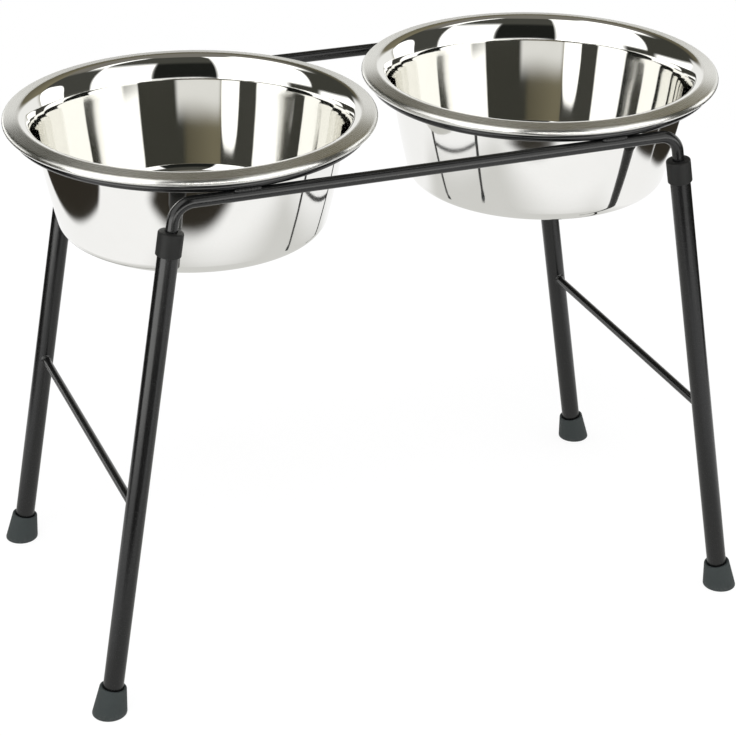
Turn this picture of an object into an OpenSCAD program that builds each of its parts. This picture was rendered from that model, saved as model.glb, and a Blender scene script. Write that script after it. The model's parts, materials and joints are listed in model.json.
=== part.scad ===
// Raised twin dog feeder. Two pressed steel bowls rest by their rolled rims on two
// rod hoops. The hoops lie across a front and a rear rail, whose ends turn down and
// plug into two leg frames. Millimetres, +Z up, floor at z = 0, rails along X, front at -Y.

/* [Top frame] */
// Diameter of each hoop, on the centre line of its rod; the rails lie right below it
hoop_d = 234; // [180:1:300]
// Diameter of the hoop rod
hoop_rod_d = 6; // [4:0.5:8]
// Diameter of the rail rod
rail_d = 8; // [6:0.5:10]
// Height of the rails' centre line above the floor
rail_height = 361.5; // [260:0.5:480]
// Distance from a bowl's centre to the corner where the rail turns down
corner_offset = 47; // [36:1:90]
// Radius of the rail's bends, on its centre line
bend_r = 14; // [10:0.5:17]
// Extra thickness of the rod in its bends
bend_swell = 0.1; // [0.06:0.02:0.3]
// Length by which the straight rod runs into a bend
bend_lap = 0.6; // [0.3:0.1:0.8]
// Length of the weld beads between hoop and rail
hoop_weld_len = 18; // [8:1:30]
// Radius of the weld beads between hoop and rail
hoop_weld_r = 1.6; // [1.2:0.1:2]
// Distance of the weld beads from the line where hoop and rail touch
hoop_weld_out = 2.4; // [2.2:0.1:2.8]

/* [Bowls] */
// How far the rim reaches outside the hoop's centre line
rim_overhang = 8; // [7:0.5:11]
// Gap between the two rims
rim_gap = 6; // [1:0.5:30]
// Radius of the rolled rim
bead_r = 2.6; // [2:0.1:4]
// Width of the hem that is turned in under the rim
hem_w = 9; // [6:0.5:10]
// Length of the lip's straight slope inside the rolled rim
lip_len = 7; // [5:0.5:9]
// Angle at which the lip falls outwards
lip_fall = 10; // [6:1:14]
// Radius of the shoulder between lip and flare
shoulder_r = 7.5; // [6:0.5:10]
// Steepness at which the shoulder runs into the flare
flare_angle = 49; // [45:1:55]
// Radius of the flare between shoulder and wall
flare_r = 28; // [24:0.5:34]
// Steepness of the wall where the flare runs into it
wall_angle = 81.6; // [79:0.2:84]
// Radius of the wall's slight bulge
wall_r = 610; // [500:10:750]
// Depth of the bowl's floor below the hoop
bowl_depth = 75; // [55:0.5:100]
// Radius of the corner between wall and floor, inside
bowl_corner_r = 9.5; // [8:0.5:20]
// Thickness of the bowl's sheet
sheet = 0.8; // [0.5:0.1:1.2]

/* [Leg frames] */
// Outer diameter of the leg tube
leg_d = 14; // [13:0.1:14.4]
// Wall of the leg tube
leg_wall = 1.2; // [0.8:0.1:1.3]
// Angle by which the legs spread to the left and right
leg_splay = 9.3; // [4:0.1:14]
// Angle by which the legs spread to the front and rear
leg_lean = 1.3; // [0:0.1:1.5]
// Height of the cross rods above the floor
cross_height = 151; // [60:1:240]
// Diameter of the cross rods
cross_d = 6; // [4:0.5:8]
// Size of the weld fillets at the ends of the cross rods
cross_weld = 1.6; // [0.8:0.1:2.5]

/* [Sleeves] */
// Outer diameter of the sleeves
sleeve_d = 16.8; // [15.6:0.1:20]
// Length of a sleeve's skirt over the leg
sleeve_len = 16; // [10:0.5:30]
// Thickness of a sleeve's top over the end of the leg
sleeve_top = 2.5; // [1.5:0.1:4]
// Distance from the rail's corner to the top of the sleeve
neck_len = 18.5; // [17:0.5:30]
// Depth that the rail's end reaches into the sleeve
plug_depth = 40; // [25:1:45]
// Thickness of the floor on which the rail's end stands
bush_floor = 3; // [1.5:0.1:6]

/* [Feet] */
// Outer diameter of a foot at its top
foot_top_d = 18.6; // [18.2:0.1:22]
// Outer diameter of a foot at the floor
foot_base_d = 24; // [22:0.1:34]
// Height of a foot, along the leg
foot_len = 20.5; // [16:0.5:40]
// Thickness of a foot's sole under the leg, along the leg
foot_sole = 6; // [4:0.5:9]
// Width of the lead-in at the mouth of a foot
foot_mouth = 1; // [0.5:0.1:1.3]

/* [Fits] */
// Gap all round between the rail's end and its sleeve
plug_gap = 0.05; // [0.02:0.01:0.1]
// Gap all round between a leg and the sleeve and foot pushed onto it
push_gap = 0.05; // [0.02:0.01:0.1]
// Chamfer on the ends of the rails and on the rims of the sleeves and feet
edge = 0.8; // [0.3:0.1:1.2]

/* [Hidden] */
$fn = 96;

LEFT = -1;
RIGHT = 1;
FRONT = -1;
REAR = 1;
PAINT = "#1c1d1f";
RUBBER = "#3a3c3e";
STEEL = "#c9cac8";

// The hoops lie on the rails, and the rims lie on the hoops.
rail_y = hoop_d / 2;
hoop_z = rail_height + rail_d / 2 + hoop_rod_d / 2;
seat_z = hoop_z + hoop_rod_d / 2;
rim_r = hoop_d / 2 + rim_overhang;
bowl_x = rim_r + rim_gap / 2;
corner_x = bowl_x + corner_offset;

// The rail's bend, from level to the slope of the legs.
bend_angle = 90 - leg_splay;
bend_run = bend_r * tan(bend_angle / 2);
spigot_end = neck_len + plug_depth;

// The leg's axis crosses the rail end's axis halfway down the plug.
cross_depth = neck_len + plug_depth / 2;
cross_x = corner_x + cross_depth * sin(leg_splay);
cross_z = rail_height - cross_depth * cos(leg_splay);
leg_drop = cos(leg_lean) * cos(leg_splay);
leg_reach = cross_z / leg_drop;
leg_top = plug_depth / 2 - sleeve_top;
leg_end = foot_sole - leg_reach;
bush_d = leg_d - 2 * leg_wall - 2 * push_gap;

// How far a bore's cut runs past the faces that it opens.
cut_past = 1;

// Where the cross rods meet the legs.
rod_down = (cross_z - cross_height) / leg_drop;
rod_x = cross_x + rod_down * cos(leg_lean) * sin(leg_splay);
rod_y = rail_y + rod_down * sin(leg_lean);

// Outline of the bowl's sheet, with the hoop's top at height 0. Each centre is shared
// by the two faces of the sheet, and every arc or straight stretch runs into the next
// without a kink.
function polar(r, a) = [r * cos(a), r * sin(a)];
bead_c = [rim_r - bead_r, bead_r];
lip_in = bead_c + polar(bead_r, 90 - lip_fall) - polar(lip_len, -lip_fall);
shoulder_c = lip_in - polar(shoulder_r, 90 - lip_fall);
flare_c = shoulder_c - polar(flare_r - shoulder_r, 90 + flare_angle);
wall_top = flare_c + polar(flare_r, 90 + wall_angle);
wall_c = wall_top - polar(wall_r, wall_angle - 90);
wall_low_a = asin((bowl_corner_r - bowl_depth - wall_c[1]) / (wall_r - bowl_corner_r));
bowl_corner_c = wall_c + polar(wall_r - bowl_corner_r, wall_low_a);
arc_step = 6;

function arc(c, r, from, to) =
    let (steps = max(3, ceil(abs(to - from) / arc_step)))
    [for (i = [0:steps]) c + polar(r, from + (to - from) * i / steps)];

// One face of the sheet from the middle of the floor to the edge of the hem:
// back = 0 is the polished face, back = sheet is the face behind it.
function bowl_face(back) = concat(
    [[0, -bowl_depth - back]],
    arc(bowl_corner_c, bowl_corner_r + back, -90, wall_low_a),
    arc(wall_c, wall_r + back, wall_low_a, wall_angle - 90),
    arc(flare_c, flare_r - back, 90 + wall_angle, 90 + flare_angle),
    arc(shoulder_c, shoulder_r - back, 90 + flare_angle, 90 - lip_fall),
    arc(bead_c, bead_r - back, 90 - lip_fall, -90),
    [[rim_r - bead_r - hem_w, back]]);

function reversed(list) = [for (i = [len(list) - 1:-1:0]) list[i]];

// Places a shape drawn for the right rear corner at any of the four corners.
module corner(side, end) {
    mirror([side == LEFT ? 1 : 0, 0, 0])
        mirror([0, end == FRONT ? 1 : 0, 0])
            children();
}

// Frame of a rail's end: origin where the rail turns down, -Z along the turned end.
module along_plug() {
    translate([corner_x, rail_y, rail_height])
        rotate([0, -leg_splay, 0])
            children();
}

// Frame of a leg: origin halfway down the plug, -Z along the leg.
module along_leg() {
    along_plug()
        translate([0, 0, -cross_depth])
            rotate([leg_lean, 0, 0])
                children();
}

// The bend and the turned-down end of a rail, at the right rear corner.
module rail_end() {
    translate([corner_x - bend_run, rail_y, rail_height - bend_r])
        rotate([90, 0, 0])
            rotate([0, 0, leg_splay])
                rotate_extrude(angle = bend_angle)
                    translate([bend_r, 0])
                        circle(d = rail_d + bend_swell);
    along_plug() {
        translate([0, 0, edge - spigot_end])
            cylinder(d = rail_d, h = spigot_end - edge - bend_run + bend_lap);
        translate([0, 0, -spigot_end])
            cylinder(d1 = rail_d - 2 * edge, d2 = rail_d, h = edge);
    }
}

module rail(end) {
    straight = 2 * (corner_x - bend_run + bend_lap);
    color(PAINT)
        union() {
            translate([0, end * rail_y, rail_height])
                rotate([0, 90, 0])
                    cylinder(d = rail_d, h = straight, center = true);
            corner(LEFT, end)
                rail_end();
            corner(RIGHT, end)
                rail_end();
        }
}

module hoop(side) {
    color(PAINT)
        translate([side * bowl_x, 0, hoop_z])
            rotate_extrude()
                translate([hoop_d / 2, 0])
                    circle(d = hoop_rod_d);
}

// One bead that follows the hoop in the groove between hoop and rail, on one side of them.
module hoop_bead(side, end, face) {
    turn = hoop_weld_len / (PI * hoop_d) * 360;
    difference() {
        translate([side * bowl_x, 0, hoop_z])
            rotate([0, 0, end * 90 - turn / 2])
                rotate_extrude(angle = turn)
                    difference() {
                        translate([hoop_d / 2 + face * hoop_weld_out, -hoop_rod_d / 2])
                            circle(r = hoop_weld_r);
                        translate([hoop_d / 2, 0])
                            circle(d = hoop_rod_d);
                    }
        translate([0, end * rail_y, rail_height])
            rotate([0, 90, 0])
                cylinder(d = rail_d, h = 2 * corner_x, center = true);
    }
}

module hoop_welds() {
    color(PAINT)
        for (side = [LEFT, RIGHT], end = [FRONT, REAR], face = [-1, 1])
            hoop_bead(side, end, face);
}

module leg(side, end) {
    color(PAINT)
        corner(side, end)
            along_leg()
                translate([0, 0, leg_end])
                    difference() {
                        cylinder(d = leg_d, h = leg_top - leg_end);
                        translate([0, 0, -cut_past])
                            cylinder(d = leg_d - 2 * leg_wall, h = leg_top - leg_end + 2 * cut_past);
                    }
}

module leg_outside(side, end) {
    corner(side, end)
        along_leg()
            translate([0, 0, -leg_reach])
                cylinder(d = leg_d + 2 * push_gap, h = leg_reach);
}

module cross_rod(side) {
    color(PAINT)
        difference() {
            translate([side * rod_x, 0, cross_height])
                rotate([90, 0, 0])
                    cylinder(d = cross_d, h = 2 * rod_y, center = true);
            leg_outside(side, FRONT);
            leg_outside(side, REAR);
        }
}

// Fillets round the ends of a cross rod, shaped to the legs that they meet.
module cross_welds(side) {
    fillet_r = cross_d / 2 + cross_weld;
    color(PAINT)
        for (end = [FRONT, REAR])
            difference() {
                translate([side * rod_x, end * rod_y, cross_height])
                    rotate([end * 90, 0, 0])
                        rotate_extrude()
                            polygon([
                                [cross_d / 2, 0],
                                [fillet_r, 0],
                                [fillet_r, leg_d / 2],
                                [cross_d / 2, leg_d / 2 + cross_weld]]);
                leg_outside(side, end);
            }
}

module sleeve(side, end) {
    top = plug_depth / 2;
    color(RUBBER)
        corner(side, end)
            difference() {
                along_leg()
                    rotate_extrude()
                        polygon([
                            [0, -top - bush_floor],
                            [bush_d / 2, -top - bush_floor],
                            [bush_d / 2, leg_top],
                            [leg_d / 2 + push_gap, leg_top],
                            [leg_d / 2 + push_gap, top - sleeve_len],
                            [sleeve_d / 2, top - sleeve_len],
                            [sleeve_d / 2, top - edge],
                            [sleeve_d / 2 - edge, top],
                            [0, top]]);
                along_plug()
                    translate([0, 0, -spigot_end])
                        cylinder(d = rail_d + 2 * plug_gap, h = spigot_end);
            }
}

module foot(side, end) {
    // The cone runs on below the floor, so that the floor cuts it all round.
    below = foot_base_d / 2;
    flare = (foot_base_d - foot_top_d) / 2 / foot_len;
    mouth = foot_len - leg_reach;
    bore = leg_d / 2 + push_gap;
    color(RUBBER)
        corner(side, end)
            difference() {
                along_leg()
                    rotate_extrude()
                        polygon([
                            [0, -leg_reach - below],
                            [foot_base_d / 2 + flare * below, -leg_reach - below],
                            [foot_top_d / 2, mouth - edge],
                            [foot_top_d / 2 - edge, mouth],
                            [bore + foot_mouth, mouth],
                            [bore, mouth - foot_mouth],
                            [bore, leg_end],
                            [0, leg_end]]);
                translate([corner_x, rail_y, -rail_height])
                    cube(2 * rail_height, center = true);
            }
}

module bowl(side) {
    color(STEEL)
        translate([side * bowl_x, 0, seat_z])
            rotate_extrude()
                polygon(concat(bowl_face(0), reversed(bowl_face(sheet))));
}

rail(FRONT);  // front_rail
rail(REAR);  // rear_rail
hoop(LEFT);  // left_hoop
hoop(RIGHT);  // right_hoop
hoop_welds();
leg(LEFT, FRONT);  // front_left_leg
leg(LEFT, REAR);  // rear_left_leg
leg(RIGHT, FRONT);  // front_right_leg
leg(RIGHT, REAR);  // rear_right_leg
cross_rod(LEFT);  // left_cross_rod
cross_rod(RIGHT);  // right_cross_rod
cross_welds(LEFT);  // left_cross_welds
cross_welds(RIGHT);  // right_cross_welds
sleeve(LEFT, FRONT);  // front_left_sleeve
sleeve(LEFT, REAR);  // rear_left_sleeve
sleeve(RIGHT, FRONT);  // front_right_sleeve
sleeve(RIGHT, REAR);  // rear_right_sleeve
foot(LEFT, FRONT);  // front_left_foot
foot(LEFT, REAR);  // rear_left_foot
foot(RIGHT, FRONT);  // front_right_foot
foot(RIGHT, REAR);  // rear_right_foot
bowl(LEFT);  // left_bowl
bowl(RIGHT);  // right_bowl
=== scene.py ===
# %% [markdown]
# # A raised twin dog feeder
# Two polished steel bowls hang by their rims in rod hoops, on a black painted stand with
# splayed tube legs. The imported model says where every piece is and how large. This lesson
# makes each piece again as a finer mesh in the same place, because a mirror shows every
# facet, and then gives it the finish that the real piece has.

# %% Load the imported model
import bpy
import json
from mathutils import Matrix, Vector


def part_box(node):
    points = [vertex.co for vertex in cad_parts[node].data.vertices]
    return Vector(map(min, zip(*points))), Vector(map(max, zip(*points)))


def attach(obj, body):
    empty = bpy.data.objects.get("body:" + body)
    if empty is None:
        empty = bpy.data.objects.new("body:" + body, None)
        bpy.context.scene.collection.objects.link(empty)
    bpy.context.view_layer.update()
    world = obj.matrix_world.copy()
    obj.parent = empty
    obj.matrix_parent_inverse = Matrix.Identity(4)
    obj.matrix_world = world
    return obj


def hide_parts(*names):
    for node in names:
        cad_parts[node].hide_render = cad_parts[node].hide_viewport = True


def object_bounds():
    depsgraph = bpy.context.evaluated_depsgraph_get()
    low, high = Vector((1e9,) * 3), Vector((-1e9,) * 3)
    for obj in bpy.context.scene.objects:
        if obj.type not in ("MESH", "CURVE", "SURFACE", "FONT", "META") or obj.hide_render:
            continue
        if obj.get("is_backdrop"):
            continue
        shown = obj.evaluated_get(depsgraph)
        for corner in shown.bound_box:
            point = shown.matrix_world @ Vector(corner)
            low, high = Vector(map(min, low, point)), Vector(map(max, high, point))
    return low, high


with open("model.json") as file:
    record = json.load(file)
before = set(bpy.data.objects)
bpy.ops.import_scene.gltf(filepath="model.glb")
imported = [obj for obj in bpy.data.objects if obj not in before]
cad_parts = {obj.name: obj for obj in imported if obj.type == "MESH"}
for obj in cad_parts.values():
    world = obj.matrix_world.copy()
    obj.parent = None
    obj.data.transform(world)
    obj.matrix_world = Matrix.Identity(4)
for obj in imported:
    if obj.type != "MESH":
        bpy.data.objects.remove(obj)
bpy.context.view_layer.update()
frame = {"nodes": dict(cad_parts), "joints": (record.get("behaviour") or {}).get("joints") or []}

# %% Import the tools
import json
import math

import bmesh
import bpy
from mathutils import Matrix, Vector

mm = 0.001

# %% [markdown]
# ## Camera
# The photograph was taken from the front left and from above, with a long lens. A camera
# can be placed by eye, but rims, rails and feet only fall where they should when its turn,
# tilt and lens are worked out together. It looks at the middle of the stand, so the frame
# needs no lens shift.

# %% Camera
aim = Vector((0.0008, 0.0, 0.1621))
camera_distance = 1.686
camera_turn = math.radians(21.542)
camera_tilt = math.radians(26.608)
camera_roll = math.radians(0.549)
focal_length, sensor_width = 113.65, 36

forward = Vector((
    math.sin(camera_turn) * math.cos(camera_tilt),
    math.cos(camera_turn) * math.cos(camera_tilt),
    -math.sin(camera_tilt)))
level = Vector((math.cos(camera_turn), -math.sin(camera_turn), 0))
upright = level.cross(forward)
right = level * math.cos(camera_roll) + upright * math.sin(camera_roll)
upward = upright * math.cos(camera_roll) - level * math.sin(camera_roll)

lens = bpy.data.cameras.new("camera")
lens.lens = focal_length
lens.sensor_width = sensor_width
camera = bpy.data.objects.new("camera", lens)
bpy.context.scene.collection.objects.link(camera)
turned = Matrix((right, upward, -forward)).transposed().to_4x4()
camera.matrix_world = Matrix.Translation(aim - forward * camera_distance) @ turned
bpy.context.scene.camera = camera
print("camera at", [round(value, 3) for value in camera.matrix_world.translation])

# %% [markdown]
# ## Meshes from rings
# Rods, tubes, bowls, caps and feet are all round, so one helper makes them all: it joins
# rings of points by faces, and a ring of one point closes an end. Curves with a bevel could
# make the rods, but not the cupped feet or the rolled rims, and one way for all pieces
# keeps the meshes even. Edges sharper than a limit stay crisp, and the rest is shaded smooth.

# %% Helpers for rings
crisp = math.radians(35)


def circle(centre, axis, radius, start=Vector((0, 1, 0)), count=32):
    """Points round an axis, counted from the side that start points to."""
    across = (start - axis * start.dot(axis)).normalized()
    over = axis.cross(across)
    turns = [2 * math.pi * i / count for i in range(count)]
    return [centre + (across * math.cos(turn) + over * math.sin(turn)) * radius for turn in turns]


def skin(name, *shells, closed=False):
    """One object from shells, each a list of rings; closed joins the last ring to the first."""
    mesh = bmesh.new()
    for rings in shells:
        rows = [[mesh.verts.new(point) for point in ring] for ring in rings]
        pairs = list(zip(rows, rows[1:]))
        if closed:
            pairs.append((rows[-1], rows[0]))
        for one, two in pairs:
            for i in range(max(len(one), len(two))):
                loop = (one, i), (one, i + 1), (two, i + 1), (two, i)
                points = [row[k % len(row)] for row, k in loop]
                mesh.faces.new(list(dict.fromkeys(points)))
    bmesh.ops.recalc_face_normals(mesh, faces=mesh.faces)
    data = bpy.data.meshes.new(name)
    mesh.to_mesh(data)
    mesh.free()
    data.polygons.foreach_set("use_smooth", [True] * len(data.polygons))
    data.set_sharp_from_angle(angle=crisp)
    made = bpy.data.objects.new(name, data)
    bpy.context.scene.collection.objects.link(made)
    return made


def settle(piece, body, node, finish):
    """Gives a piece its finish and its body, and hides the imported solid that it stands for."""
    piece.data.materials.append(finish)
    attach(piece, body)
    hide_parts(node)
    print(piece.name, "on", body, len(piece.data.polygons), "faces")


print("edges stay crisp from", round(math.degrees(crisp)), "degrees")

# %% [markdown]
# ## Shader maths
# A finish is a small network of nodes. Written as Python it stays readable: this class
# holds one socket, the signs + - * / on it add Math nodes, and one method adds any other
# node. Colours are blended by Mix nodes, because a Math node would turn them grey.

# %% A socket that takes part in sums
class Shade:
    """One socket of a node tree, or a bare tree to start from."""

    def __init__(self, tree, socket=None):
        self.tree = tree
        self.socket = socket

    def feed(self, socket, value):
        """Links or sets the value of a socket."""
        if isinstance(value, Shade):
            self.tree.links.new(value.socket, socket)
        else:
            socket.default_value = value

    def node(self, kind, settings=None, inputs=None, output=0):
        """Adds a node: its settings first, then its sockets' values or links."""
        made = self.tree.nodes.new("ShaderNode" + kind)
        for name, value in (settings or {}).items():
            if name == "stops":
                ramp = made.color_ramp
                while len(ramp.elements) < len(value):
                    ramp.elements.new(1)
                for element, (place, colour) in zip(ramp.elements, value):
                    element.position = place
                    element.color = colour
            else:
                setattr(made, name, value)
        for name, value in (inputs or {}).items():
            self.feed(made.inputs[name], value)
        return Shade(self.tree, made.outputs[output])

    def math(self, operation, *values):
        return self.node("Math", {"operation": operation}, dict(enumerate(values)))

    def __add__(self, other):
        return self.math("ADD", self, other)

    def __sub__(self, other):
        return self.math("SUBTRACT", self, other)

    def __rsub__(self, other):
        return self.math("SUBTRACT", other, self)

    def __mul__(self, other):
        return self.math("MULTIPLY", self, other)

    def __truediv__(self, other):
        return self.math("DIVIDE", self, other)

    def __rtruediv__(self, other):
        return self.math("DIVIDE", other, self)

    __radd__ = __add__
    __rmul__ = __mul__

    def rise(self, low, high):
        """A smooth step from 0 at low to 1 at high."""
        span = {"Value": self, "From Min": low, "From Max": high}
        return self.node("MapRange", {"interpolation_type": "SMOOTHSTEP"}, span)

    def mix(self, first, second):
        """A colour between two, with this value as the share of the second."""
        return self.node("Mix", {"data_type": "RGBA"}, {0: self, 6: first, 7: second}, 2)

    def axis(self, name):
        return self.node("SeparateXYZ", None, {0: self}, name)

    def noise(self, size, detail=2.0, roughness=0.5):
        """Noise over this vector, with lumps of about the given size in metres."""
        amounts = {"Vector": self, "Scale": 1 / size, "Detail": detail, "Roughness": roughness}
        return self.node("TexNoise", None, amounts, "Fac")


print("operators ready on", Shade.__name__)

# %% Helpers for finishes
def rgb(red, green, blue):
    return (red, green, blue, 1)


def new_finish(name):
    """A material, its tree with the object's own coordinates, and its main shader."""
    finish = bpy.data.materials.new(name)
    finish.use_nodes = True
    shader = finish.node_tree.nodes["Principled BSDF"]
    return finish, Shade(finish.node_tree).node("TexCoord", output="Object"), shader


def relief(height, depth):
    """A normal from a height, in lumps of the given depth in metres."""
    amounts = {"Height": height, "Distance": depth, "Strength": 1.0}
    return height.node("Bump", None, amounts, "Normal")


print("a colour as the shaders take it:", rgb(0.5, 0.5, 0.5))

# %% [markdown]
# ## Black paint
# Rods and tubes carry one coat of black paint, half glossy. One even black would do from
# afar, but close by it looks like plastic, because sprayed paint is never quite even: it
# shrinks to a fine orange peel, and thin and thick places differ a little in shade and in
# gloss. Both come from noise at their real size, well under a millimetre for the peel and a
# few centimetres for the clouds, with a few specks of dust.

# %% Black paint
def black_paint():
    finish, place, shader = new_finish("black_paint")
    clouds = place.noise(40 * mm, detail=3)
    peel = place.noise(0.9 * mm, detail=1)
    specks = place.noise(0.4 * mm, detail=0).rise(0.68, 0.76)
    thin, thick = rgb(0.0032, 0.0034, 0.0036), rgb(0.0058, 0.006, 0.0062)
    dust = rgb(0.03, 0.03, 0.03)
    place.feed(shader.inputs["Base Color"], (specks * 0.35).mix(clouds.mix(thin, thick), dust))
    place.feed(shader.inputs["Roughness"], 0.17 + clouds * 0.1 + specks * 0.15)
    place.feed(shader.inputs["Normal"], relief(peel, 0.012 * mm))
    return finish


paint = black_paint()
print("made", paint.name)

# %% [markdown]
# ## Moulded plastic and rubber
# The sleeves are moulded plastic with a fine spark-eroded grain, and the feet are soft
# rubber: greyer, duller, and a little scuffed towards the floor. Such grain is far too fine
# to model, so noise makes it as a bump. The scuffs could be painted on, but they follow the
# height above the floor, which is the object's own z, so all four feet get them alike.

# %% Sleeve plastic
def sleeve_plastic():
    finish, place, shader = new_finish("sleeve_plastic")
    clouds = place.noise(12 * mm, detail=3)
    grain = place.noise(0.35 * mm, detail=2)
    dark, light = rgb(0.009, 0.0092, 0.0088), rgb(0.014, 0.0142, 0.0136)
    place.feed(shader.inputs["Base Color"], clouds.mix(dark, light))
    place.feed(shader.inputs["Roughness"], 0.42 + grain * 0.2)
    place.feed(shader.inputs["Normal"], relief(grain, 0.03 * mm))
    shader.inputs["Specular IOR Level"].default_value = 0.25
    return finish


plastic = sleeve_plastic()
print("made", plastic.name)

# %% Foot rubber
scuff_from, scuff_to = 0.5 * mm, 6 * mm


def foot_rubber():
    finish, place, shader = new_finish("foot_rubber")
    clouds = place.noise(8 * mm, detail=4, roughness=0.6)
    grain = place.noise(0.4 * mm, detail=3)
    near_floor = 1 - place.axis("Z").rise(scuff_from, scuff_to)
    scuff = near_floor * place.noise(1.5 * mm, detail=3).rise(0.45, 0.7)
    dark, light = rgb(0.026, 0.033, 0.033), rgb(0.041, 0.051, 0.051)
    worn = rgb(0.09, 0.09, 0.085)
    place.feed(shader.inputs["Base Color"], (scuff * 0.5).mix(clouds.mix(dark, light), worn))
    place.feed(shader.inputs["Roughness"], 0.62 + clouds * 0.2)
    place.feed(shader.inputs["Normal"], relief(grain + clouds * 2, 0.06 * mm))
    return finish


rubber = foot_rubber()
print("made", rubber.name)

# %% [markdown]
# ## Polished steel
# A pressed bowl is polished on a turning wheel. The walls are mirrors with faint rings from
# the wheel and a slow waviness from the press, and the lip keeps a satin ring grain. Turned
# grooves are finer than any mesh, so a bump and a stretched gloss stand for them. The bowl's
# own axis is its object's z, so the distance from it tells rings and lip apart.

# %% Polished steel
satin_from, satin_full = 113.6 * mm, 115.2 * mm
satin_height = 2.5 * mm


def polished_steel():
    finish, place, shader = new_finish("polished_steel")
    flat = place.node("VectorMath", {"operation": "MULTIPLY"}, {0: place, 1: (1, 1, 0)})
    radius = place.node("VectorMath", {"operation": "LENGTH"}, {0: flat}, "Value")
    height = place.axis("Z")
    satin = radius.rise(satin_from, satin_full) * height.rise(0.0, satin_height)
    profile = place.node("CombineXYZ", None, {"X": radius, "Y": height})
    rings = profile.noise(0.5 * mm, detail=3, roughness=0.7)
    waves = place.noise(50 * mm, detail=1)
    smears = place.noise(30 * mm, detail=4, roughness=0.6)
    mirror = smears.mix(rgb(0.84, 0.835, 0.81), rgb(0.88, 0.875, 0.855))
    brushed = rgb(0.74, 0.735, 0.70)
    place.feed(shader.inputs["Base Color"], (satin * 0.6).mix(mirror, brushed))
    polish = 0.025 + smears * 0.02 + rings * 0.01
    place.feed(shader.inputs["Roughness"], polish + satin * (0.19 + rings * 0.08))
    bumps = waves * 30 + rings * (0.05 + satin * 1.2)
    place.feed(shader.inputs["Normal"], relief(bumps, 0.004 * mm))
    shader.inputs["Metallic"].default_value = 1.0
    shader.inputs["Anisotropic"].default_value = 0.9
    shader.inputs["Anisotropic Rotation"].default_value = 0.25
    return finish


steel = polished_steel()
print("made", steel.name)

# %% [markdown]
# ## Bowls
# Each bowl is one steel sheet: floor, wall, a flare, a round shoulder, a lip that falls
# outwards and a rolled rim whose hem turns in underneath. Turning an outline round the axis
# is how the real one is spun or pressed, and it gives even normals all round. Both faces of
# the sheet share the centres of their arcs, so the sheet is equally thick everywhere. The
# arcs run into each other without a kink and are cut finely, as a mirror shows every facet.

# %% Sizes of a bowl's sheet
sheet = 0.8 * mm
bead_r = 2.6 * mm
hem_w = 9 * mm
lip_len, lip_fall = 7 * mm, 10
shoulder_r = 7.5 * mm
flare_r, flare_angle = 28 * mm, 49
wall_r, wall_angle = 610 * mm, 81.6
floor_corner_r = 9.5 * mm

bowl_low, bowl_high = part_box("left_bowl")
rim_r = (bowl_high.y - bowl_low.y) / 2
seat_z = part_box("left_hoop")[1].z
bowl_depth = seat_z - bowl_low.z - sheet
print("rim in mm:", round(2 * rim_r / mm, 1), "depth in mm:", round(bowl_depth / mm, 1))

# %% Centres of the outline's arcs
def polar(radius, degrees):
    turn = math.radians(degrees)
    return Vector((radius * math.cos(turn), radius * math.sin(turn)))


bead_c = Vector((rim_r - bead_r, bead_r))
lip_in = bead_c + polar(bead_r, 90 - lip_fall) - polar(lip_len, -lip_fall)
shoulder_c = lip_in - polar(shoulder_r, 90 - lip_fall)
flare_c = shoulder_c - polar(flare_r - shoulder_r, 90 + flare_angle)
wall_c = flare_c + polar(flare_r, 90 + wall_angle) - polar(wall_r, wall_angle - 90)
corner_fall = (floor_corner_r - bowl_depth - wall_c.y) / (wall_r - floor_corner_r)
wall_low = math.degrees(math.asin(corner_fall))
floor_corner_c = wall_c + polar(wall_r - floor_corner_r, wall_low)
print("lip starts in mm from the axis:", round(lip_in.x / mm, 1))

# %% Outline of the sheet
arc_step = {"corner": 5, "wall": 0.4, "flare": 2, "shoulder": 3, "bead": 8}
floor_rings, lip_rings, hem_rings = 8, 5, 4


def arc(centre, radius, start, end, step):
    count = max(4, math.ceil(abs(end - start) / step))
    return [centre + polar(radius, start + (end - start) * i / count) for i in range(count + 1)]


def line(start, end, count):
    """Points between two ends, without the ends."""
    return [start.lerp(end, i / count) for i in range(1, count)]


def sheet_face(back):
    """One face of the sheet from the middle of the floor to the edge of the hem."""
    middle = Vector((0, -bowl_depth - back))
    corner = arc(floor_corner_c, floor_corner_r + back, -90, wall_low, arc_step["corner"])
    wall = arc(wall_c, wall_r + back, wall_low, wall_angle - 90, arc_step["wall"])
    flare = arc(flare_c, flare_r - back, 90 + wall_angle, 90 + flare_angle, arc_step["flare"])
    shoulder_ends = 90 + flare_angle, 90 - lip_fall
    shoulder = arc(shoulder_c, shoulder_r - back, *shoulder_ends, arc_step["shoulder"])
    bead = arc(bead_c, bead_r - back, 90 - lip_fall, -90, arc_step["bead"])
    hem = Vector((rim_r - bead_r - hem_w, back))
    points = [middle] + line(middle, corner[0], floor_rings)
    points += corner + wall[1:] + flare[1:] + shoulder[1:]
    points += line(shoulder[-1], bead[0], lip_rings) + bead
    return points + line(bead[-1], hem, hem_rings) + [hem]


outline = sheet_face(0) + sheet_face(sheet)[::-1]
print("outline points:", len(outline))

# %% Turn the outline into two bowls
bowl_sides = 192
up = Vector((0, 0, 1))


def turned_bowl(name, node):
    low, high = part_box(node)
    rings = [
        [up * point.y] if point.x == 0 else circle(up * point.y, up, point.x, count=bowl_sides)
        for point in outline]
    bowl = skin(name, rings)
    bowl.location = ((low.x + high.x) / 2, (low.y + high.y) / 2, seat_z)
    return bowl


for side in ("left", "right"):
    bowl = turned_bowl(f"{side}_bowl_polished", f"{side}_bowl")
    settle(bowl, f"{side}_bowl_body", f"{side}_bowl", steel)

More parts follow.
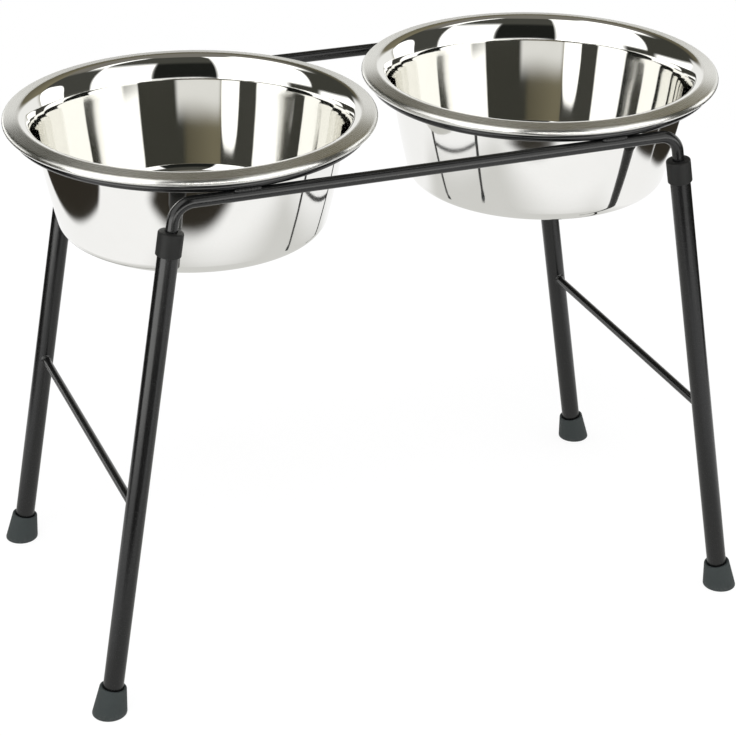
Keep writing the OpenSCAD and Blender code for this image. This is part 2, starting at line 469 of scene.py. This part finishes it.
# %% [markdown]
# ## Hoops and rails
# The hoops are rod bent into rings, and each rail is a longer rod whose ends are bent down
# into plugs. Bevelled curves could give both, but rings of points also give the chamfer at
# the plugs' ends. A hoop is a circle carried round, and a rail is a circle carried along its
# path, half of it worked out and the other half mirrored.

# %% Hoops
hoop_steps, hoop_rod_sides = 160, 24

hoop_low, hoop_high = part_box("left_hoop")
hoop_z = (hoop_low.z + hoop_high.z) / 2
hoop_rod_r = (hoop_high.z - hoop_low.z) / 2
hoop_r = (hoop_high.y - hoop_low.y) / 2 - hoop_rod_r


def bent_hoop(name, node):
    low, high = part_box(node)
    centre = (low + high) / 2
    spokes = circle(Vector((0, 0, 0)), up, 1, count=hoop_steps)
    rings = [
        circle(centre + out * hoop_r, up.cross(out), hoop_rod_r, up, hoop_rod_sides)
        for out in spokes]
    return skin(name, rings, closed=True)


for side in ("left", "right"):
    hoop = bent_hoop(f"{side}_hoop_rod", f"{side}_hoop")
    settle(hoop, "top_frame", f"{side}_hoop", paint)

# %% Path of a rail
rail_r = 4 * mm
bend_r = 14 * mm
bend_steps = 14
corner_offset = 47 * mm
neck_len = 18.5 * mm
plug_depth = 40 * mm
end_chamfer = 0.8 * mm

pull = {joint["name"]: Vector(joint["axis"]).normalized() for joint in frame["joints"]}
plug_dir = pull["right_legs_pull"]
splay = math.degrees(math.asin(plug_dir.x))
rail_z = hoop_z - hoop_rod_r - rail_r
bowl_x = (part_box("right_bowl")[0].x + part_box("right_bowl")[1].x) / 2
rail_corner = Vector((bowl_x + corner_offset, 0, rail_z))
bend_run = bend_r * math.tan(math.radians(90 - splay) / 2)


def rail_half():
    """Centres, directions and radii of the rings from the middle of a rail to its right end."""
    bend_c = Vector((rail_corner.x - bend_run, rail_z - bend_r))
    straight = [Vector((0, 0, rail_z)), Vector((bend_c.x / 2, 0, rail_z))]
    rows = [(point, Vector((1, 0, 0)), rail_r) for point in straight]
    for i in range(bend_steps + 1):
        turn = 90 + (splay - 90) * i / bend_steps
        spot = bend_c + polar(bend_r, turn)
        along = polar(1, turn - 90)
        rows.append((Vector((spot.x, 0, spot.y)), Vector((along.x, 0, along.y)), rail_r))
    end = rail_corner + plug_dir * (neck_len + plug_depth)
    rows.append((end - plug_dir * end_chamfer, plug_dir, rail_r))
    rows.append((end, plug_dir, rail_r - end_chamfer))
    return rows


print("splay of the legs in degrees:", round(splay, 2), "rings in half a rail:", len(rail_half()))

# %% Rails
def bent_rail(name, node):
    low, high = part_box(node)
    shift = Vector((0, (low.y + high.y) / 2, 0))
    flip = Vector((-1, 1, 1))
    rows = rail_half()
    left = [(centre * flip, along * flip * -1, radius) for centre, along, radius in rows[:0:-1]]
    rings = [circle(centre + shift, along, radius) for centre, along, radius in left + rows]
    left_end = rows[-1][0] * flip + shift
    right_end = rows[-1][0] + shift
    return skin(name, [[left_end]] + rings + [[right_end]])


for end in ("front", "rear"):
    rail = bent_rail(f"{end}_rail_rod", f"{end}_rail")
    settle(rail, "top_frame", f"{end}_rail", paint)

# %% [markdown]
# ## Weld beads between hoops and rails
# Where a hoop lies on a rail, a bead runs along the groove on either side. A plain round bar
# would fill the groove too, but a real bead is laid in short pushes, so it shows ripples and
# thins out at its ends. Each one is a small circle carried along the hoop's curve, with a
# radius that swells a little at each push.

# %% Weld beads
bead_len = 18 * mm
bead_size = 1.6 * mm
bead_out = 2.4 * mm
bead_steps, bead_sides = 72, 16
pushes, push_swell = 9, 0.07
taper_power, taper_least = 8, 0.02


def weld_bead(middle, end, face):
    """Rings of one bead under a hoop, at its front or rear, outside or inside the rail."""
    reach = bead_len / hoop_r / 2
    rings = []
    for i in range(bead_steps + 1):
        share = 2 * i / bead_steps - 1
        turn = end * math.pi / 2 + share * reach
        out = Vector((math.cos(turn), math.sin(turn), 0))
        ripple = 1 + push_swell * math.cos(math.pi * pushes * share)
        size = bead_size * ripple * math.sqrt(max(taper_least, 1 - share ** taper_power))
        spot = middle + out * (hoop_r + face * bead_out) - up * hoop_rod_r
        rings.append(circle(spot, up.cross(out), size, up, bead_sides))
    tips = [[sum(ring, Vector()) / bead_sides] for ring in (rings[0], rings[-1])]
    return [tips[0]] + rings + [tips[1]]


beads = [
    weld_bead(Vector((side * bowl_x, 0, hoop_z)), end, face)
    for side in (-1, 1) for end in (-1, 1) for face in (-1, 1)]
settle(skin("hoop_weld_beads", *beads), "top_frame", "hoop_welds", paint)

# %% [markdown]
# ## Leg frames
# Each end of the stand is an H of tube: two legs, tied by a thinner rod that is welded
# between them. The legs lean two ways at once. Their axes could be worked out again from the
# angles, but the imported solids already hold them: the middle of a leg's highest points and
# the middle of its lowest ones.

# %% Axes of the legs
leg_r = 7 * mm
leg_wall = 1.2 * mm
ends_of_tube = 4 * mm


def leg_axis(node):
    """The middle of a leg's upper end and of its lower end."""
    points = [vertex.co for vertex in frame["nodes"][node].data.vertices]
    top = max(point.z for point in points)
    low = min(point.z for point in points)
    upper = [point for point in points if point.z > top - ends_of_tube]
    lower = [point for point in points if point.z < low + ends_of_tube]
    return sum(upper, Vector()) / len(upper), sum(lower, Vector()) / len(lower)


corners = [(end, side) for end in ("front", "rear") for side in ("left", "right")]
axes = {key: leg_axis("_".join(key) + "_leg") for key in corners}
for key, (top, low) in axes.items():
    print(key, "leg length in mm:", round((top - low).length / mm, 1))

# %% Leg tubes
leg_sides = 48
tube_bevel = 0.3 * mm


def leg_tube(name, top, low):
    along = (top - low).normalized()
    bore = leg_r - leg_wall
    stops = [
        (low + along * tube_bevel, leg_r), (low.lerp(top, 0.5), leg_r),
        (top - along * tube_bevel, leg_r), (top, leg_r - tube_bevel),
        (top, bore), (low, bore), (low, leg_r - tube_bevel)]
    rings = [circle(centre, along, radius, count=leg_sides) for centre, radius in stops]
    return skin(name, rings, closed=True)


for (end, side), (top, low) in axes.items():
    tube = leg_tube(f"{end}_{side}_leg_tube", top, low)
    settle(tube, f"{side}_leg_frame", f"{end}_{side}_leg", paint)

# %% [markdown]
# ## Cross rods
# A cross rod is cut to the round of the legs that it meets, and a weld runs round each end.
# A boolean could cut the ends, but it leaves ragged faces. Instead each point of the rod's
# end slides along the rod until it lies on the leg's surface. The weld is a hollow fillet
# between the two, a little lumpy.

# %% Where a rod meets a leg
rod_r = 3 * mm


def on_leg(point, key):
    """The point slid along y, from the middle of the rod, until it touches a leg's outside."""
    top, low = axes[key]
    along = (top - low).normalized()
    start = point - low
    flat = start - along * start.dot(along)
    slide = Vector((0, 1, 0)) - along * along.y
    a, b, c = slide.dot(slide), flat.dot(slide), flat.dot(flat) - leg_r ** 2
    root = math.sqrt(b * b - a * c)
    near = (-b + root if key[0] == "front" else -b - root) / a
    return point + Vector((0, near, 0))


def rod_ring(middle, radius):
    return circle(middle, Vector((0, 1, 0)), radius, up)


def rod_middle(side):
    low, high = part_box(f"{side}_cross_rod")
    return (low + high) / 2


print("cross rods at a height in mm of", round(rod_middle("left").z / mm))

# %% Cross rods and their welds
fillet = 1.6 * mm
fillet_rows = 4
lump_depth = 0.12


def rod_end(side, end):
    return [on_leg(point, (end, side)) for point in rod_ring(rod_middle(side), rod_r)]


def cross_rod(name, side):
    front, rear = rod_end(side, "front"), rod_end(side, "rear")
    caps = [[sum(ring, Vector()) / len(ring)] for ring in (front, rear)]
    return skin(name, [caps[0], front, rod_ring(rod_middle(side), rod_r), rear, caps[1]])


def cross_weld(side, end, inward):
    """Rings of the fillet at one end of a rod, from the rod out to the leg and back inside."""
    rings = []
    for row in range(fillet_rows + 1):
        share = row / fillet_rows
        grow, lift = fillet * share ** 2, fillet * (1 - share) ** 2
        points = []
        for i, spoke in enumerate(rod_ring(Vector(), 1)):
            lump = 1 + lump_depth * math.sin(5 * i) * math.cos(2 * i)
            edge = on_leg(rod_middle(side) + spoke * (rod_r + grow * lump), (end, side))
            points.append(edge + Vector((0, inward * lift * lump, 0)))
        rings.append(points)
    return rings + [rod_end(side, end)]


for side in ("left", "right"):
    rod = cross_rod(f"{side}_cross_rod_bar", side)
    settle(rod, f"{side}_leg_frame", f"{side}_cross_rod", paint)
    shells = cross_weld(side, "front", 1), cross_weld(side, "rear", -1)
    weld = skin(f"{side}_cross_rod_welds", *shells, closed=True)
    settle(weld, f"{side}_leg_frame", f"{side}_cross_welds", paint)

# %% [markdown]
# ## Sleeves
# A sleeve is a moulded cap on the top of each leg. Its skirt goes over the tube, its bush
# goes into the tube, and the rail's plug goes into the bush. It could be a cap with a hole
# cut by a boolean, but the leg leans forward or back a little and the plug doesn't, so the
# bore has an axis of its own. Rings about two axes follow both in one closed mesh.

# %% Sizes of a sleeve
sleeve_r = 8.4 * mm
sleeve_len = 16 * mm
sleeve_top = 2.5 * mm
sleeve_round = 1.2 * mm
crown_step = 18
bush_floor = 3 * mm
push_gap = 0.05 * mm
plug_gap = 0.05 * mm
lead_in = 0.4 * mm


def sleeve_outline():
    """Radii and heights of a sleeve, from under its bush to the edge of its flat top."""
    bush_r = leg_r - leg_wall - push_gap
    hug_r = leg_r + push_gap
    bush_low = -plug_depth - bush_floor
    skirt = sleeve_len - sleeve_top
    crown_c = Vector((sleeve_r - sleeve_round, -sleeve_round))
    crown = arc(crown_c, sleeve_round, 0, 90, crown_step)
    return [
        (bush_r - lead_in, bush_low), (bush_r, lead_in + bush_low),
        (bush_r, -sleeve_top), (hug_r, -sleeve_top), (hug_r, lead_in - sleeve_len),
        (hug_r + lead_in, -sleeve_len), (sleeve_r - lead_in, -sleeve_len),
        (sleeve_r, lead_in - sleeve_len), (sleeve_r, -skirt / 2), (sleeve_r, -sleeve_round),
        *((point.x, point.y) for point in crown[1:])]


print("rings in a sleeve's outline:", len(sleeve_outline()))

# %% Sleeves
def moulded_sleeve(name, key):
    top, low = axes[key]
    along = (top - low).normalized()
    cap = top + along * sleeve_top
    side = 1 if key[1] == "right" else -1
    down = Vector((plug_dir.x * side, 0, plug_dir.z))
    rings = [circle(cap + along * height, along, radius) for radius, height in sleeve_outline()]
    bore_r = rail_r + plug_gap
    bore_top = cap - along * (plug_depth / 2) - down * (plug_depth / 2)
    bore_low = bore_top + down * plug_depth
    rings.append(circle(bore_top, down, bore_r + lead_in))
    rings.append(circle(bore_top + down * lead_in, down, bore_r))
    rings.append(circle(bore_low, down, bore_r))
    bush_low = cap - along * (plug_depth + bush_floor)
    return skin(name, [[bush_low]] + rings + [[bore_low]])


for key in corners:
    end, side = key
    cap = moulded_sleeve(f"{end}_{side}_sleeve_cap", key)
    settle(cap, f"{side}_leg_frame", f"{end}_{side}_sleeve", plastic)

# %% [markdown]
# ## Feet
# The feet are ferrules: a cone of rubber pushed over the tube, with an open mouth round the
# leg and a flat sole. The leg is slanted and the floor is level. A cone could be cut off at
# the floor by a boolean, but its edge would be ragged, so each line down the cone ends where
# it meets the floor. Two grooves in the sole give grip and show from below.

# %% Sizes of a foot
foot_top_r = 9.3 * mm
foot_base_r = 12 * mm
foot_len = 20.5 * mm
foot_sole = 6 * mm
foot_mouth = 1 * mm
foot_sides = 48
# shares of the mouth: how far out, and how far below the upper end
mouth_rows = [(0, 1), (0.4, 0.3), (1, 0)]
mouth_round = 0.7 * mm
mouth_step, mouth_end = 20, 10
base_round = 1.2 * mm
base_rows = (0, 0.33, 0.67, 1)
groove = 0.8 * mm
# share of the sole's width, and height above the floor
sole_rings = [
    (0.8, 0), (0.74, groove), (0.66, groove), (0.6, 0), (0.4, 0), (0.34, groove), (0.22, groove)]
print("foot in mm:", round(foot_len / mm, 1), "long,", round(2 * foot_base_r / mm), "wide")

# %% Feet
def rubber_foot(name, key):
    top, low = axes[key]
    along = (top - low).normalized()
    spot = low - along * (low.z / along.z)
    narrowing = (foot_base_r - foot_top_r) / foot_len
    bore = leg_r + push_gap
    spokes = circle(Vector(), along, 1, count=foot_sides)

    def across(radius, height):
        return [spot + along * height + spoke * radius for spoke in spokes]

    def level_ring(height, share):
        """Where the cone is at a height above the floor, drawn in to a share of its width."""
        points = []
        for spoke in spokes:
            run = (height - foot_base_r * spoke.z) / (along.z - narrowing * spoke.z)
            point = along * run + spoke * (foot_base_r - narrowing * run)
            points.append(spot + Vector((point.x * share, point.y * share, height)))
        return points

    mouth_c = Vector((foot_top_r - mouth_round, foot_len - mouth_round))
    mouth = arc(mouth_c, mouth_round, 90, mouth_end, mouth_step)
    rings = [[spot + along * foot_sole], across(bore, foot_sole)]
    for out, down in mouth_rows:
        rings.append(across(bore + foot_mouth * out, foot_len - foot_mouth * down))
    rings += [across(point.x, point.y) for point in mouth]
    side_low = level_ring(base_round * 2, 1)
    rings.append([high.lerp(base, 0.5) for high, base in zip(rings[-1], side_low)])
    rings.append(side_low)
    for share in base_rows:
        turn = math.radians(90 * share)
        inset = base_round * (1 - math.cos(turn)) / foot_base_r
        rings.append(level_ring(base_round * (1 - math.sin(turn)), 1 - inset))
    for share, height in sole_rings:
        rings.append([point + up * height for point in level_ring(0, share)])
    return skin(name, rings + [[spot + up * groove]])


for key in corners:
    end, side = key
    foot = rubber_foot(f"{end}_{side}_foot_ferrule", key)
    settle(foot, f"{side}_leg_frame", f"{end}_{side}_foot", rubber)

# %% [markdown]
# ## Studio
# The stand is shown on white between large soft lights. A mirror shows the whole room, so
# the room matters more than any lamp: white panels to the left and right, a grey backdrop
# under a dull wall, lights beside the camera and dark gaps between them. The room could be
# built from planes, but a panorama in the world shader needs no meshes. It is a ramp over
# the bearing, which is 0 straight behind the stand and grows to the right, in degrees, with
# patches laid over it up to their own heights. The camera itself only sees white.

# %% Tones round the room
panel_light = 1.6
tones = {
    "camera side": rgb(0.013, 0.014, 0.012),
    "panel": rgb(panel_light, panel_light, panel_light * 0.98),
    "dark wall": rgb(0.05, 0.05, 0.041),
    "shaded wall": rgb(0.12, 0.108, 0.072),
    "dull wall": rgb(0.2, 0.18, 0.118),
    "grey wall": rgb(0.06, 0.06, 0.052),
    "backdrop": rgb(0.95, 0.95, 0.93),
    "front lights": rgb(3.5, 3.5, 3.4),
    "ceiling": rgb(0.2, 0.19, 0.165),
    "dim ceiling": rgb(0.065, 0.065, 0.055)}
walls = [
    (-180, "camera side"), (-142, "panel"), (-61.5, "dark wall"), (7, "shaded wall"),
    (32, "dull wall"), (64, "grey wall"), (118, "panel"), (168, "camera side")]
ceilings = [
    (-180, "dim ceiling"), (-142, "panel"), (-28, "ceiling"), (100, "panel"),
    (120, "dim ceiling")]
edge_width = {"shaded wall": 5, "dull wall": 20}


def around(bearing, zones):
    """Colours round the room: each zone starts at its bearing, with a soft edge."""
    stops = [(0, tones[zones[0][1]])]
    for (_, before), (start, name) in zip(zones, zones[1:]):
        width = edge_width.get(name, 1)
        stops.append(((start - width + 180) / 360, tones[before]))
        stops.append(((start + width + 180) / 360, tones[name]))
    return bearing.node("ValToRGB", {"stops": stops}, {0: (bearing + 180) / 360})


print("panorama zones:", len(walls) + len(ceilings))

# %% Panorama of the room
low_light, glow_top = 2.2, 10
side_panel = {"bearing": 77, "half_width": 14, "height": 8, "half_height": 19}
panel_squareness, panel_edge = 4, 0.15
# tone, first and last bearing, and the heights between which the patch fades
low_patches = [
    ("panel", -52, 0, 9, 14), ("backdrop", -4, 62, 18, 24), ("dark wall", -85, -57, 12, 17)]
patch_edge = 4
ceiling_foot, ceiling_top = 48, 76
panel_foot = -8
left_panel, left_panel_drop = (-142, -85), 14
front_gap, front_heights = (-150, 150), (-17, 4)


def above(value, limit, soft):
    """0 below a limit and 1 above it, with a soft edge."""
    return value.rise(limit - soft, limit + soft)


def between(value, low, high, soft):
    """1 between two limits and 0 outside them, with soft edges."""
    return above(value, low, soft) * (1 - above(value, high, soft))


def patched_wall(bearing, height):
    """The walls, brighter near the floor, with a rounded panel and patches over them."""
    wall = around(bearing, walls)
    glow = 1 + (low_light - 1) * (1 - height.rise(0, glow_top))
    wall = wall.node("VectorMath", {"operation": "SCALE"}, {0: wall, "Scale": glow}, "Vector")
    across = (bearing - side_panel["bearing"]) / side_panel["half_width"]
    over = (height - side_panel["height"]) / side_panel["half_height"]
    wide, tall = (wall.math("POWER", share, panel_squareness) for share in (across, over))
    wall = (1 - above(wide + tall, 1, panel_edge)).mix(wall, tones["panel"])
    for tone, start, end, fade_from, fade_to in low_patches:
        patch = between(bearing, start, end, patch_edge) * (1 - height.rise(fade_from, fade_to))
        wall = patch.mix(wall, tones[tone])
    return wall


def room_panorama(tree):
    """The colour of the room over the direction that a mirror looks in."""
    way = tree.node("TexCoord", output="Generated")
    bearing = way.math("ARCTAN2", way.axis("X"), way.axis("Y")) * (180 / math.pi)
    height = way.math("ARCSINE", way.axis("Z")) * (180 / math.pi)
    wall = patched_wall(bearing, height)
    room = above(height, ceiling_foot, 5).mix(wall, around(bearing, ceilings))
    room = above(height, ceiling_top, 2).mix(room, tones["ceiling"])
    lowered = height + between(bearing, *left_panel, 2) * left_panel_drop
    room = above(lowered, panel_foot, 2).mix(tones["dark wall"], room)
    front_lights = (1 - between(bearing, *front_gap, 10)) * between(height, *front_heights, 5)
    return front_lights.mix(room, tones["front lights"])


print("patches over the walls:", len(low_patches) + 1)

# %% World
soft_light = 0.75


def surface(shader, kind):
    """Links a shader to the output of its material or world."""
    out = shader.tree.nodes.new("ShaderNodeOutput" + kind)
    shader.tree.links.new(shader.socket, out.inputs["Surface"])


def ray(tree, name):
    return tree.node("LightPath", output=f"Is {name} Ray")


world = bpy.data.worlds.new("studio")
world.use_nodes = True
world.node_tree.nodes.clear()
bpy.context.scene.world = world
room = Shade(world.node_tree)
white = room.node("Background", None, {"Color": rgb(1, 1, 1), "Strength": 1.0})
soft = room.node("Background", None, {"Color": rgb(1, 1, 1), "Strength": soft_light})
mirrored = room.node("Background", None, {"Color": room_panorama(room), "Strength": 1.0})
lit = room.node("MixShader", None, {0: ray(room, "Glossy"), 1: soft, 2: mirrored})
clear = room.math("MAXIMUM", ray(room, "Camera"), ray(room, "Transmission"))
surface(room.node("MixShader", None, {0: clear, 1: lit, 2: white}), "World")
print("nodes in the world:", len(world.node_tree.nodes))

# %% [markdown]
# ## Floor and light
# The floor is a pale sheet that stays white to the camera and in the steel, and keeps a
# faint shadow under the feet. Cards lie on it that only reflections show: dark ones give
# the outside of the bowls their dark patches, as cards do in a studio, and a soft grey one
# is a painted shadow of the bowls on the floor under them. The bowls' lower edges reflect
# it, so that they are not lost against white. One large soft lamp above the front adds a
# little direction to the even light.

# %% Floor
floor_r = 1.0
floor_sides = 64
floor_grey, floor_glow = 0.9, 1.08
white_to = {"Camera": 0.8, "Glossy": 0.7, "Transmission": 0.8}


def bare_finish(name):
    """A material with an empty tree, and that tree."""
    finish = bpy.data.materials.new(name)
    finish.use_nodes = True
    finish.node_tree.nodes.clear()
    return finish, Shade(finish.node_tree)


def pale_floor():
    finish, tree = bare_finish("pale_floor")
    dull = tree.node("BsdfDiffuse", None, {"Color": rgb(floor_grey, floor_grey, floor_grey)})
    glow = tree.node("Emission", None, {"Color": rgb(1, 1, 1), "Strength": floor_glow})
    share = sum(ray(tree, name) * part for name, part in white_to.items())
    surface(tree.node("MixShader", None, {0: share, 1: dull, 2: glow}), "Material")
    return finish


rims = [circle(Vector(), up, radius, count=floor_sides) for radius in (floor_r / 2, floor_r)]
floor = skin("floor", [[Vector()], *rims])
floor.data.materials.append(pale_floor())
floor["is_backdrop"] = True
print("floor radius in m:", floor_r)

# %% Cards for the reflections
# grey is the tone of a painted shadow: the bowls' shadow on the floor under them
black, grey = rgb(0.03, 0.026, 0.02), rgb(0.7, 0.7, 0.68)
dark_lift, painted_shadow_lift = 4 * mm, 3 * mm
# the margin over which a card fades, and its corners, in metres
dark_cards = {
    "left_card": (0.03, [
        (-1.3, -0.03), (-0.7, -0.03), (-0.63, 0.02), (-0.4, 0.62), (-0.36, 0.75),
        (-0.36, 1.2), (-1.3, 1.2)]),
    "front_left_card": (0.08, [
        (-0.58, -0.9), (0.22, -0.9), (0.05, -0.5), (-0.11, -0.39), (-0.26, -0.33),
        (-0.4, -0.29), (-0.56, -0.29)]),
    "front_card": (0.15, [(-1.0, -1.5), (0.15, -1.5), (0.15, -0.55), (-0.6, -0.55)]),
    "right_card": (0.03, [(0.685, -0.08), (1.4, -0.08), (1.4, 0.9), (0.735, 0.9)]),
    "front_right_card": (0.03, [(0.61, -0.3), (1.4, -0.3), (1.4, -0.05), (0.69, -0.05)])}
# the grey card is that painted shadow, laid on the floor under the bowls
painted_shadow_card = (0.18, [(-0.45, -0.42), (0.45, -0.42), (0.45, 0.4), (-0.45, 0.4)])
print("cards on the floor:", len(dark_cards) + 1)

# %% Lay the cards
def card_finish(name, corners, margin, colour):
    """A glow inside the corners that fades over a margin, and nothing outside them."""
    finish, tree = bare_finish(name)
    place = tree.node("TexCoord", output="Object")
    inside = 1
    for start, end in zip(corners, corners[1:] + corners[:1]):
        inward = up.cross(end - start).normalized()
        dot = {0: place, 1: inward}
        depth = place.node("VectorMath", {"operation": "DOT_PRODUCT"}, dot, "Value")
        inside = inside * (depth - inward.dot(start)).rise(0, margin)
    glow = tree.node("Emission", None, {"Color": colour, "Strength": 1.0})
    nothing = tree.node("BsdfTransparent")
    surface(tree.node("MixShader", None, {0: inside, 1: nothing, 2: glow}), "Material")
    return finish


def floor_card(name, margin, corners, colour, lift):
    """A card on the floor that only reflections show."""
    corners = [Vector((x, y, lift)) for x, y in corners]
    card = skin(name, [[sum(corners, Vector()) / len(corners)], corners])
    card.data.materials.append(card_finish(name, corners, margin, colour))
    for kind in ("camera", "diffuse", "transmission", "volume_scatter", "shadow"):
        setattr(card, f"visible_{kind}", False)
    card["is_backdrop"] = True
    print(name, "fades over", margin, "m")


for name, (margin, corners_at) in dark_cards.items():
    floor_card(name, margin, corners_at, black, dark_lift)
# the painted shadow under the bowls lies a millimetre below the dark cards
floor_card("shade_under_bowls", *painted_shadow_card, grey, painted_shadow_lift)

# %% Soft lamp
lamp = bpy.data.lights.new("soft_lamp", "AREA")
lamp.shape = "DISK"
lamp.size = 1.6
lamp.energy = 18
lamp_holder = bpy.data.objects.new("soft_lamp", lamp)
bpy.context.scene.collection.objects.link(lamp_holder)
lamp_holder.location = (-0.6, -1.0, 2.0)
lamp_holder.rotation_euler = (aim - lamp_holder.location).to_track_quat("-Z", "Y").to_euler()
lamp_holder.visible_glossy = False
print("lamp in watts:", lamp.energy)

# %% [markdown]
# ## Picture settings and size
# Colours go to the picture unchanged, so that white is white. A mirror inside a bowl shows
# the mirror opposite, so reflections may bounce a few times more than usual. The box round
# the visual model is printed at the end. The visual model may not grow out of the imported
# one.

# %% Settings and size
scene = bpy.context.scene
scene.view_settings.view_transform = "Standard"
scene.cycles.glossy_bounces = 8
low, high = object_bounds()
print("visual size in mm:", [round(length / mm, 1) for length in high - low])
